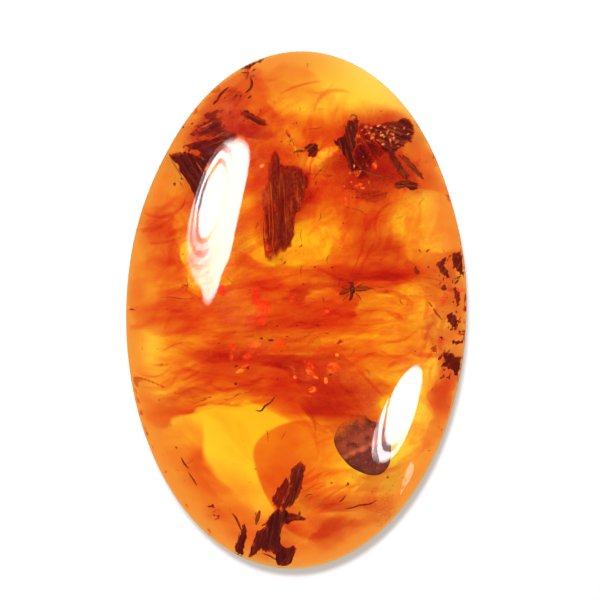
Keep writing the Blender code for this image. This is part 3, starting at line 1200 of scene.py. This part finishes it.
make_flakes(
    "red_stress_flakes", (1.0, 0.13, 0.10, 1.0), (0.62, 0.05, 0.03, 1.0), 0.80, (0.2, 0.9), RED_FLAKES)
make_flakes("orange_stress_flakes", (1.0, 0.34, 0.18, 1.0), (0.90, 0.12, 0.05, 1.0), 1.0, (0.25, 1.0),
            ORANGE_FLAKES)
make_flakes("painted_sparkles", (0.95, 0.25, 0.13, 1.0), (0.55, 0.07, 0.04, 1.0), 0.72, (0.1, 0.9), (), PAINTED_SPARKLES)
make_flakes("golden_flakes_and_painted_glow", (1.0, 0.50, 0.13, 1.0), (0.95, 0.26, 0.04, 1.0), 0.92, (0.35, 0.5),
            GOLDEN_FLAKES)
make_flakes("pink_painted_haze", (0.74, 0.13, 0.11, 1.0), (0.56, 0.07, 0.050, 1.0), 0.62, (0.18, 0.24), PAINTED_HAZE_PATCHES)


# Stress disc
# One larger round split in the amber just below the middle. It is a thin gap, dull greenish
# orange, that glows a little by emission, a painted glow, with a painted highlight round its rim.

DISC_MIDDLE = (303, 343)
DISC_HALVES = (18, 12)
DISC_RISE = 0.6
DISC_THICKNESS = 0.06 * MM
DISC_LEAN = 0.2 * MM
DISC_CORNERS = 10
DISC_DULL = (0.42, 0.22, 0.05, 1.0)
DISC_PAINTED_RIM_HIGHLIGHT = (0.95, 0.42, 0.10, 1.0)

disc_looks = Looks("stress_disc")
disc_rim = disc_looks.attribute("rim")
disc_tone = disc_looks.blend(disc_rim, DISC_DULL, DISC_PAINTED_RIM_HIGHLIGHT)
# The disc glows by emission, a painted glow, and its rim is a painted highlight
disc_material = disc_looks.finish(disc_looks.node("BsdfPrincipled", None, {
    "Base Color": disc_tone, "Roughness": 0.6, "Specular IOR Level": 0.0,
    "Alpha": 0.05 + disc_rim * 0.22, "Emission Color": disc_tone, "Emission Strength": 0.45,
}))


def disc_half_thickness(_, share):
    return DISC_THICKNESS / 2 * math.sqrt(1 - share * share)


def disc_lean(spot):
    return DISC_LEAN * (spot.y - DISC_MIDDLE[1]) / DISC_HALVES[1]


disc = bmesh.new()
rim_layer = disc.verts.layers.float.new("rim")
disc_outline = tuple(
    (DISC_MIDDLE[0] + DISC_HALVES[0] * math.cos(2 * math.pi * step / DISC_CORNERS),
     DISC_MIDDLE[1] + DISC_HALVES[1] * math.sin(2 * math.pi * step / DISC_CORNERS))
    for step in range(DISC_CORNERS)
)
for vertex, _, share in add_lens(disc, disc_outline, DISC_RISE, 48, 14, disc_half_thickness, disc_lean):
    vertex[rim_layer] = share ** 4
make_piece("stress_disc", disc, disc_material)


# Domed body
# A smooth banded brown body, like the husk of a seed or a beetle's back, beside the lower
# bright patch. It has a red-brown crown that fades at its top, a pale band and a dark base.
# The purple-grey tint of its colours is painted haze from the bright patch over it, and it
# glows a little by emission, a painted glow.

HUSK_OUTLINE = (
    (334, 438), (337, 450), (344, 460), (351, 467), (360, 472), (369, 475), (378, 475), (385, 471),
    (390, 462), (391, 448), (388, 434), (380, 424), (370, 420), (361, 413), (350, 414), (341, 423))
HUSK_TOP, HUSK_BOTTOM = 412.0, 475.0
HUSK_MIDDLE, HUSK_HALF = 362.0, 28.0
HUSK_SLANT = 0.20
HUSK_TURNS = 72
HUSK_RINGS = 36
HUSK_RISE = 0.66
HUSK_THICKNESS = 1.6 * MM
# Purple-grey tint in all the husk's colours: painted haze from the bright patch over it
HUSK_CROWN_AND_PAINTED_HAZE = (0.34, 0.058, 0.085, 1.0)
# Where each band starts, how softly, and its colour
HUSK_BANDS = (
    (0.10, 0.10, (0.26, 0.045, 0.065, 1.0)), (0.24, 0.08, (0.38, 0.070, 0.095, 1.0)),
    (0.47, 0.05, (0.62, 0.15, 0.18, 1.0)), (0.55, 0.05, (0.20, 0.036, 0.062, 1.0)),
    (0.85, 0.10, (0.27, 0.055, 0.075, 1.0)),
)
HUSK_SPOTS = (0.10, 0.016, 0.030, 1.0)
HUSK_GRAINS = (0.60, 0.17, 0.17, 1.0)

husk_looks = Looks("banded_husk")
husk_along = husk_looks.attribute("along_husk")
husk_place = husk_looks.place()
husk_mottle = husk_looks.node("TexNoise", None, {"Vector": husk_place, "Scale": 1500.0, "Detail": 5.0})
husk_grain = husk_looks.node("TexNoise", None, {"Vector": husk_place, "Scale": 6000.0, "Detail": 2.0})
husk_at = husk_along + (husk_mottle - 0.5) * 0.10
husk_tone = HUSK_CROWN_AND_PAINTED_HAZE
for start, width, colour in HUSK_BANDS:
    husk_tone = husk_looks.blend(husk_looks.clamp((husk_at - start) / width), husk_tone, colour)
husk_tone = husk_looks.blend(husk_looks.clamp((husk_mottle - 0.50) * 4.0), husk_tone, HUSK_SPOTS)
husk_tone = husk_looks.blend(husk_looks.clamp((husk_grain - 0.60) * 5.0), husk_tone, HUSK_GRAINS)
# The emission is a painted glow
husk_material = husk_looks.finish(husk_looks.node("BsdfPrincipled", None, {
    "Base Color": husk_tone, "Roughness": 0.4 + husk_mottle * 0.3, "Specular IOR Level": 0.0,
    "Emission Color": husk_tone, "Emission Strength": 0.50,
    "Alpha": husk_looks.clamp(husk_at * 4.5 + husk_mottle * 1.6 - 0.75),
    "Normal": husk_looks.node("Bump", None, {
        "Strength": 0.3, "Distance": 0.05 * MM, "Height": husk_mottle}),
}))


def husk_half_thickness(_, share):
    return HUSK_THICKNESS / 2 * math.sqrt(1 - share * share)


husk = bmesh.new()
husk_layer = husk.verts.layers.float.new("along_husk")
for vertex, spot, _ in add_lens(husk, HUSK_OUTLINE, HUSK_RISE, HUSK_TURNS, HUSK_RINGS, husk_half_thickness):
    slant = 0.05 - HUSK_SLANT * (spot.x - HUSK_MIDDLE) / HUSK_HALF
    vertex[husk_layer] = (spot.y - HUSK_TOP) / (HUSK_BOTTOM - HUSK_TOP) - slant
make_piece("domed_husk", husk, husk_material)


# Gnat
# A tiny two-winged fly just right of the middle, about 0.8 mm long: head, hunched thorax,
# thin abdomen, two clear wings, six legs and two feelers, all dark brown.

GNAT_RISE = 0.72
GNAT_TONE = 0.02
VEINS_PER_METRE = 9000.0
GNAT_PARTS = (
    (((351.0, 281.5), (352.0, 284.5), (352.5, 287.5)), 3.8),
    (((351.0, 285.5), (352.5, 289.5), (352.5, 294.0)), 6.2),
    (((352.5, 291.5), (351.5, 296.0), (349.5, 301.0)), 3.8),
    (((350.5, 282.5), (348.5, 280.0), (346.0, 279.0)), 0.7),
    (((352.0, 282.5), (354.0, 279.5), (356.5, 278.5)), 0.7),
    (((350.0, 288.5), (345.0, 289.0), (341.0, 286.5)), 0.9),
    (((350.0, 291.0), (345.0, 293.0), (340.0, 294.0)), 0.9),
    (((350.5, 293.5), (346.0, 297.5), (342.5, 301.0)), 0.9),
    (((355.0, 287.5), (360.0, 285.5), (364.0, 283.0)), 0.9),
    (((355.0, 290.0), (361.0, 291.0), (367.0, 290.0)), 0.9),
    (((354.5, 292.5), (359.0, 296.5), (362.0, 301.5)), 0.9),
)
WING_RISE = 0.74
WINGS = (((361.5, 289.0), (10.5, 2.6), 4), ((345.0, 292.0), (6.5, 2.2), 22))

gnat = start_fibres()
for points, width in GNAT_PARTS:
    add_fibre(gnat, points, GNAT_RISE, width, GNAT_TONE)
make_piece("gnat", gnat, humus)

wing_looks = Looks("gnat_wing")
wing_veins = wing_looks.node("TexNoise", None, {"Vector": wing_looks.place(), "Scale": VEINS_PER_METRE})
wing_material = wing_looks.finish(wing_looks.node("BsdfPrincipled", None, {
    "Base Color": (0.30, 0.10, 0.05, 1.0), "Roughness": 0.4, "Specular IOR Level": 0.0,
    "Alpha": 0.30 + wing_veins * 0.3}))
wings = bmesh.new()
for middle, halves, angle in WINGS:
    add_flake(wings, middle, halves, angle, WING_RISE)
make_piece("gnat_wings", wings, wing_material)


# Specks and hairs
# Grains of soil, spores and broken plant hairs that the resin picked up. They lie all
# through the stone, thickest round the bark and along the flows.

# Two corners of the picture, how many specks lie between them, and their largest radius
SPECK_REGIONS = (
    ((140, 90), (440, 500), 110, 0.9), ((230, 240), (350, 400), 60, 1.0), ((330, 110), (430, 210), 50, 1.1),
    ((200, 90), (300, 160), 40, 1.0), ((430, 250), (464, 380), 34, 1.2), ((150, 440), (260, 550), 30, 1.0),
    ((207, 508), (219, 519), 10, 1.2), ((330, 470), (400, 530), 20, 0.9),
)
# Place in the picture, and radius
LARGE_SPECKS = (
    (348, 484, 2.2), (331, 483, 1.4), (388, 477, 1.6), (371, 503, 1.4), (235, 384, 1.8), (301, 246, 1.6),
    (285, 263, 1.4), (315, 267, 1.4), (420, 251, 1.8), (428, 250, 2.0), (429, 267, 1.8), (441, 338, 2.2),
    (316, 183, 1.6), (330, 375, 2.4), (236, 366, 2.2), (248, 368, 2.2), (270, 340, 3.2), (213, 506, 3.0),
    (261, 338, 2.0), (303, 283, 1.4), (404, 128, 1.6), (176, 448, 1.6), (160, 400, 1.4), (289, 136, 1.6),
)
LARGE_SPECK_GRAINS = 3
LARGE_SPECK_RISE = 0.65
HAIRS = 46


def on_stone(px, py):
    """How far out a spot of the picture lies, 1 at the outline."""
    return math.hypot(
        (px - STONE_CENTRE[0]) * PIXEL / HALF_WIDTH, (py - STONE_CENTRE[1]) * PIXEL / HALF_LENGTH)


def add_speck(form, px, py, radius, rise):
    """A small rough grain, a few dozen faces at most."""
    grain = bmesh.ops.create_icosphere(form, subdivisions=1, radius=radius * PIXEL)
    place = inside(px, py, rise)
    stretch = Vector((chance.uniform(0.8, 2.0), chance.uniform(0.4, 1.0), chance.uniform(0.4, 0.8)))
    turn = Matrix.Rotation(chance.uniform(0, math.pi), 3, "Z")
    tone = chance.uniform(0.0, 0.7)
    for vertex in grain["verts"]:
        vertex.co = place + turn @ (vertex.co * stretch * chance.uniform(0.5, 1.3))
        set_grain(form, vertex, px, py, tone)


specks = start_fibres()
for low, high, number, size in SPECK_REGIONS:
    for _ in range(number):
        px, py = chance.uniform(low[0], high[0]), chance.uniform(low[1], high[1])
        radius = size * chance.uniform(0.25, 0.8)
        rise = chance.uniform(0.25, 0.9)
        if on_stone(px, py) < 0.97:
            add_speck(specks, px, py, radius, rise)
for px, py, radius in LARGE_SPECKS:
    for _ in range(LARGE_SPECK_GRAINS):
        spot = (px + chance.uniform(-1, 1), py + chance.uniform(-1, 1))
        add_speck(specks, *spot, radius * 0.5, LARGE_SPECK_RISE)
make_piece("specks", specks, humus)

hairs = start_fibres()
for _ in range(HAIRS):
    px, py = chance.uniform(150, 440), chance.uniform(100, 520)
    heading = chance.uniform(0, math.pi)
    reach = chance.uniform(3, 9)
    bend = chance.uniform(-2, 2)
    ahead = Vector((math.cos(heading), math.sin(heading))) * reach
    spot = Vector((px, py))
    rise = chance.uniform(0.3, 0.9)
    width = chance.uniform(0.4, 0.9)
    if on_stone(px, py) < 0.93:
        middle = spot + Vector((-ahead.y, ahead.x)).normalized() * bend
        add_fibre(hairs, (spot - ahead, middle, spot + ahead), rise, width, 0.5)
make_piece("plant_hairs", hairs, humus)


# Floor and light
# A plain white table that glows a little by emission, more in a painted pool of light round
# the stone, a small light pad under the stone, a soft lamp high above, and three white cards,
# whose reflections on the polish are the bright patches.

FLOOR_GAP = 0.05 * MM
FLOOR_HALF = 1.5
PAD_GLOW = 0.66
PAD_SHARE = 0.985
LAMP_DISTANCE = 0.6
FLOOR_COLOUR = (0.52, 0.49, 0.49, 1.0)
# The table's emission: a painted pool of light within a few centimetres of the stone, dimmer beyond it
FLOOR_PAINTED_POOL_GLOW = (1.0, 0.95, 0.94, 1.0)
FLOOR_FAR_GLOW = (0.45, 0.44, 0.44, 1.0)
FLOOR_GLOW_FROM = 0.03
FLOOR_GLOW_OVER = 0.05

# The lamp's compass direction and height in degrees, its spread as a share of its distance,
# and its glow
TOP_LAMP = (110.0, 75.0, 0.07, 270.0)
CARD_TURNS = 64
CARD_RINGS = 10
CARD_WHITE = (1.0, 1.0, 1.0, 1.0)
CARD_CREAM = (0.72, 0.60, 0.54, 1.0)
CARD_NOTHING = (0.0, 0.0, 0.0, 1.0)
CARD_SOFT_EDGE = 0.10

# Name, strength, the bright oval (middle, half sizes and lean), the lines round it, their
# shade, and the outline of the reflection in the picture
CARDS = (
    ("left_card", 21.0, (211, 200), (11, 36), 12.0, (1.03, 0.40, 0.85, 0.05, 0.70),
     (0.14, 0.17, 0.19, 1.0), (
        (236, 137), (245, 141), (249, 151), (247, 170), (243, 190), (238, 212), (234, 235), (230, 255),
        (223, 272), (217, 292), (209, 305), (203, 302), (200, 290), (193, 282), (187, 262), (186, 235),
        (190, 208), (197, 182), (206, 160), (220, 143))),
    ("right_card", 21.0, (402, 404), (11, 40), 17.0, (1.15, 0.55, 0.60, 0.60, 0.10),
     (0.12, 0.13, 0.15, 1.0), (
        (414, 364), (421, 366), (423, 376), (420, 394), (415, 414), (408, 434), (398, 452), (388, 462),
        (378, 464), (372, 458), (371, 446), (375, 428), (383, 408), (393, 390), (403, 374))),
    ("small_card", 4.5, (409, 470), (3, 14), 20.0, (0.75, 0.60, 0.60, 0.50, 0.20),
     (0.10, 0.13, 0.15, 1.0), (
        (410, 461), (414, 466), (413, 474), (409, 484), (403, 494), (400, 497), (401, 488), (404, 476))),
)
ROOM_LIGHT = 0.11
ROOM_COLOUR = (1.0, 0.99, 0.97, 1.0)
DARK_RING_HOLE = 1.015
DARK_RING_REACH = 30.0
DARK_RING_SHIFT = -0.25 * MM
DARK_RING_COLOUR = (0.13, 0.085, 0.060, 1.0)

# Painted pool of light: the table glows brighter near the stone and fades further out
floor_looks = Looks("glowing_white_table")
floor_away = floor_looks.node("VectorMath", {"operation": "LENGTH"}, (floor_looks.place(),), "Value")
floor_beyond_painted_pool = floor_looks.clamp((floor_away - FLOOR_GLOW_FROM) / FLOOR_GLOW_OVER)
floor_material = floor_looks.finish(floor_looks.node("BsdfPrincipled", None, {
    "Base Color": FLOOR_COLOUR, "Roughness": 0.9, "Specular IOR Level": 0.0,
    "Emission Color": floor_looks.blend(floor_beyond_painted_pool, FLOOR_PAINTED_POOL_GLOW, FLOOR_FAR_GLOW),
    "Emission Strength": 0.38,
}))
floor_form = bmesh.new()
bmesh.ops.create_grid(floor_form, x_segments=1, y_segments=1, size=FLOOR_HALF)
bmesh.ops.translate(floor_form, verts=floor_form.verts, vec=(0, 0, -FLOOR_GAP))
floor_data = bpy.data.meshes.new("floor")
floor_form.to_mesh(floor_data)
floor_form.free()
floor_data.materials.append(floor_material)
floor = bpy.data.objects.new("floor", floor_data)
bpy.context.scene.collection.objects.link(floor)


def add_lamp(name, shape, half_sizes, glow, place, way):
    """A flat lamp of this shape whose face glows this bright, turned to shine along -way."""
    lamp = bpy.data.lights.new(name, "AREA")
    lamp.shape = shape
    lamp.size, lamp.size_y = 2 * half_sizes[0], 2 * half_sizes[1]
    lamp.energy = glow * math.pi * math.pi * half_sizes[0] * half_sizes[1]
    holder = bpy.data.objects.new(name, lamp)
    holder.location = place
    holder.rotation_euler = way.to_track_quat("Z", "Y").to_euler()
    bpy.context.scene.collection.objects.link(holder)
    return holder


pad_halves = (HALF_WIDTH * PAD_SHARE, HALF_LENGTH * PAD_SHARE)
add_lamp("light_pad", "ELLIPSE", pad_halves, PAD_GLOW, (0, 0, -FLOOR_GAP / 2), Vector((0, 0, -1)))
compass, rise, spread, glow = TOP_LAMP
way = Vector((
    math.cos(math.radians(compass)) * math.cos(math.radians(rise)),
    math.sin(math.radians(compass)) * math.cos(math.radians(rise)),
    math.sin(math.radians(rise)),
))
half = LAMP_DISTANCE * spread
top_lamp = add_lamp("top_lamp", "DISK", (half, half), glow, way * LAMP_DISTANCE, way)
top_lamp.visible_glossy = False
top_lamp.visible_transmission = False


def bounced(px, py):
    """Where the polish mirrors this point of the picture to: a place and a direction."""
    entry, aim, normal = meets_skin(px, py)
    return entry, aim - 2 * aim.dot(normal) * normal


def stage_only_in_reflections(name, data):
    """A card of the studio that shows in the polish and nowhere else."""
    card = bpy.data.objects.new(name, data)
    bpy.context.scene.collection.objects.link(card)
    card.visible_camera = False
    card.visible_diffuse = False
    card.visible_transmission = False
    card.visible_shadow = False


def card_looks(name, strength, middle, halves, lean, lines, shade):
    """A glow that is even in a bright oval and crossed by darker lines round it. The lines
    have a first one, a gap, a strength, a share by which they grow stronger down the picture,
    and a share by which the whole lower side is darker."""
    looks = Looks(name)
    across = looks.attribute("across") - middle[0]
    down = looks.attribute("down") - middle[1]
    share = looks.attribute("share")
    turn = math.radians(lean)
    x = (across * math.cos(turn) + down * math.sin(turn)) / halves[0]
    y = (down * math.cos(turn) - across * math.sin(turn)) / halves[1]
    place = looks.node("CombineXYZ", None, (x, y, 0.0))
    waves = looks.node("TexNoise", None, {"Vector": place, "Scale": 1.3, "Detail": 3.0})
    away = (x * x + y * y) ** 0.5 + (waves - 0.5) * 0.30
    first, gap, around, downwards, low_share = lines
    ripple = looks.node("Math", {"operation": "COSINE"}, ((away - first) * (2 * math.pi / gap),))
    side = looks.clamp(around - x * 0.80 + y * downwards)
    outside = looks.clamp((away - first + 0.14) * 8.0)
    fading = looks.clamp(2.3 - away * 0.9)
    dark = looks.clamp(ripple * 2.2 + 0.3) * side * outside * fading
    low = looks.clamp((y - 0.35) * 1.6) * looks.clamp(0.55 - x * 0.8) * outside * low_share
    warmth = looks.clamp((waves - 0.40) * 2.5 + y * 0.35) * looks.clamp(1.0 - x * 0.5 + y * 0.3)
    cream = looks.blend(warmth * outside * low_share, CARD_WHITE, CARD_CREAM)
    shaded = looks.blend(looks.clamp(dark + low - dark * low), cream, shade)
    faded = looks.blend(looks.clamp((1.0 - share) / CARD_SOFT_EDGE), CARD_NOTHING, shaded)
    return looks.finish(looks.node("Emission", None, {"Color": faded, "Strength": strength}))


for name, strength, middle, halves, lean, lines, shade, outline in CARDS:
    card = bmesh.new()
    across = card.verts.layers.float.new("across")
    down = card.verts.layers.float.new("down")
    share_out = card.verts.layers.float.new("share")
    bmesh.ops.create_grid(card, x_segments=CARD_TURNS, y_segments=CARD_RINGS, size=1)
    centre = middle_of(outline)
    start, way = bounced(*centre)
    for vertex in card.verts:
        turn, share = (vertex.co.x + 1) / 2 % 1.0, (vertex.co.y + 1) / 2
        spot = centre.lerp(along(outline, turn), share)
        place, aim = bounced(*spot)
        vertex.co = place + aim * (LAMP_DISTANCE / aim.dot(way))
        vertex[across] = spot.x
        vertex[down] = spot.y
        vertex[share_out] = share
    bmesh.ops.remove_doubles(card, verts=card.verts, dist=1e-5)
    card_data = bpy.data.meshes.new(name)
    card.to_mesh(card_data)
    card.free()
    card_data.materials.append(card_looks(name, strength, middle, halves, lean, lines, shade))
    stage_only_in_reflections(name, card_data)

# A dark card with a hole for the stone keeps the white table out of the rim's reflections
dark_ring = bmesh.new()
for reach, aside in ((DARK_RING_HOLE, DARK_RING_SHIFT), (DARK_RING_REACH, 0.0)):
    loop = bmesh.ops.create_circle(dark_ring, segments=TURN_STEPS, radius=reach)
    bmesh.ops.scale(dark_ring, verts=loop["verts"], vec=(HALF_WIDTH, HALF_LENGTH, 1))
    bmesh.ops.translate(dark_ring, verts=loop["verts"], vec=(aside, 0, -FLOOR_GAP / 4))
bmesh.ops.bridge_loops(dark_ring, edges=dark_ring.edges)
ring_looks = Looks("dark_ring")
ring_data = bpy.data.meshes.new("dark_ring")
dark_ring.to_mesh(ring_data)
dark_ring.free()
ring_data.materials.append(ring_looks.finish(ring_looks.node("Emission", None, {
    "Color": DARK_RING_COLOUR, "Strength": 1.0})))
stage_only_in_reflections("dark_ring", ring_data)

room = bpy.data.worlds.new("soft_room")
room.use_nodes = True
background = room.node_tree.nodes["Background"]
background.inputs["Color"].default_value = ROOM_COLOUR
background.inputs["Strength"].default_value = ROOM_LIGHT

scene = bpy.context.scene
scene.world = room
scene.view_settings.view_transform = "Standard"
scene.cycles.max_bounces = 12
scene.cycles.transmission_bounces = 9
scene.cycles.transparent_max_bounces = 64
scene.cycles.sample_clamp_indirect = 3.0
scene.cycles.caustics_refractive = False
scene.cycles.caustics_reflective = False
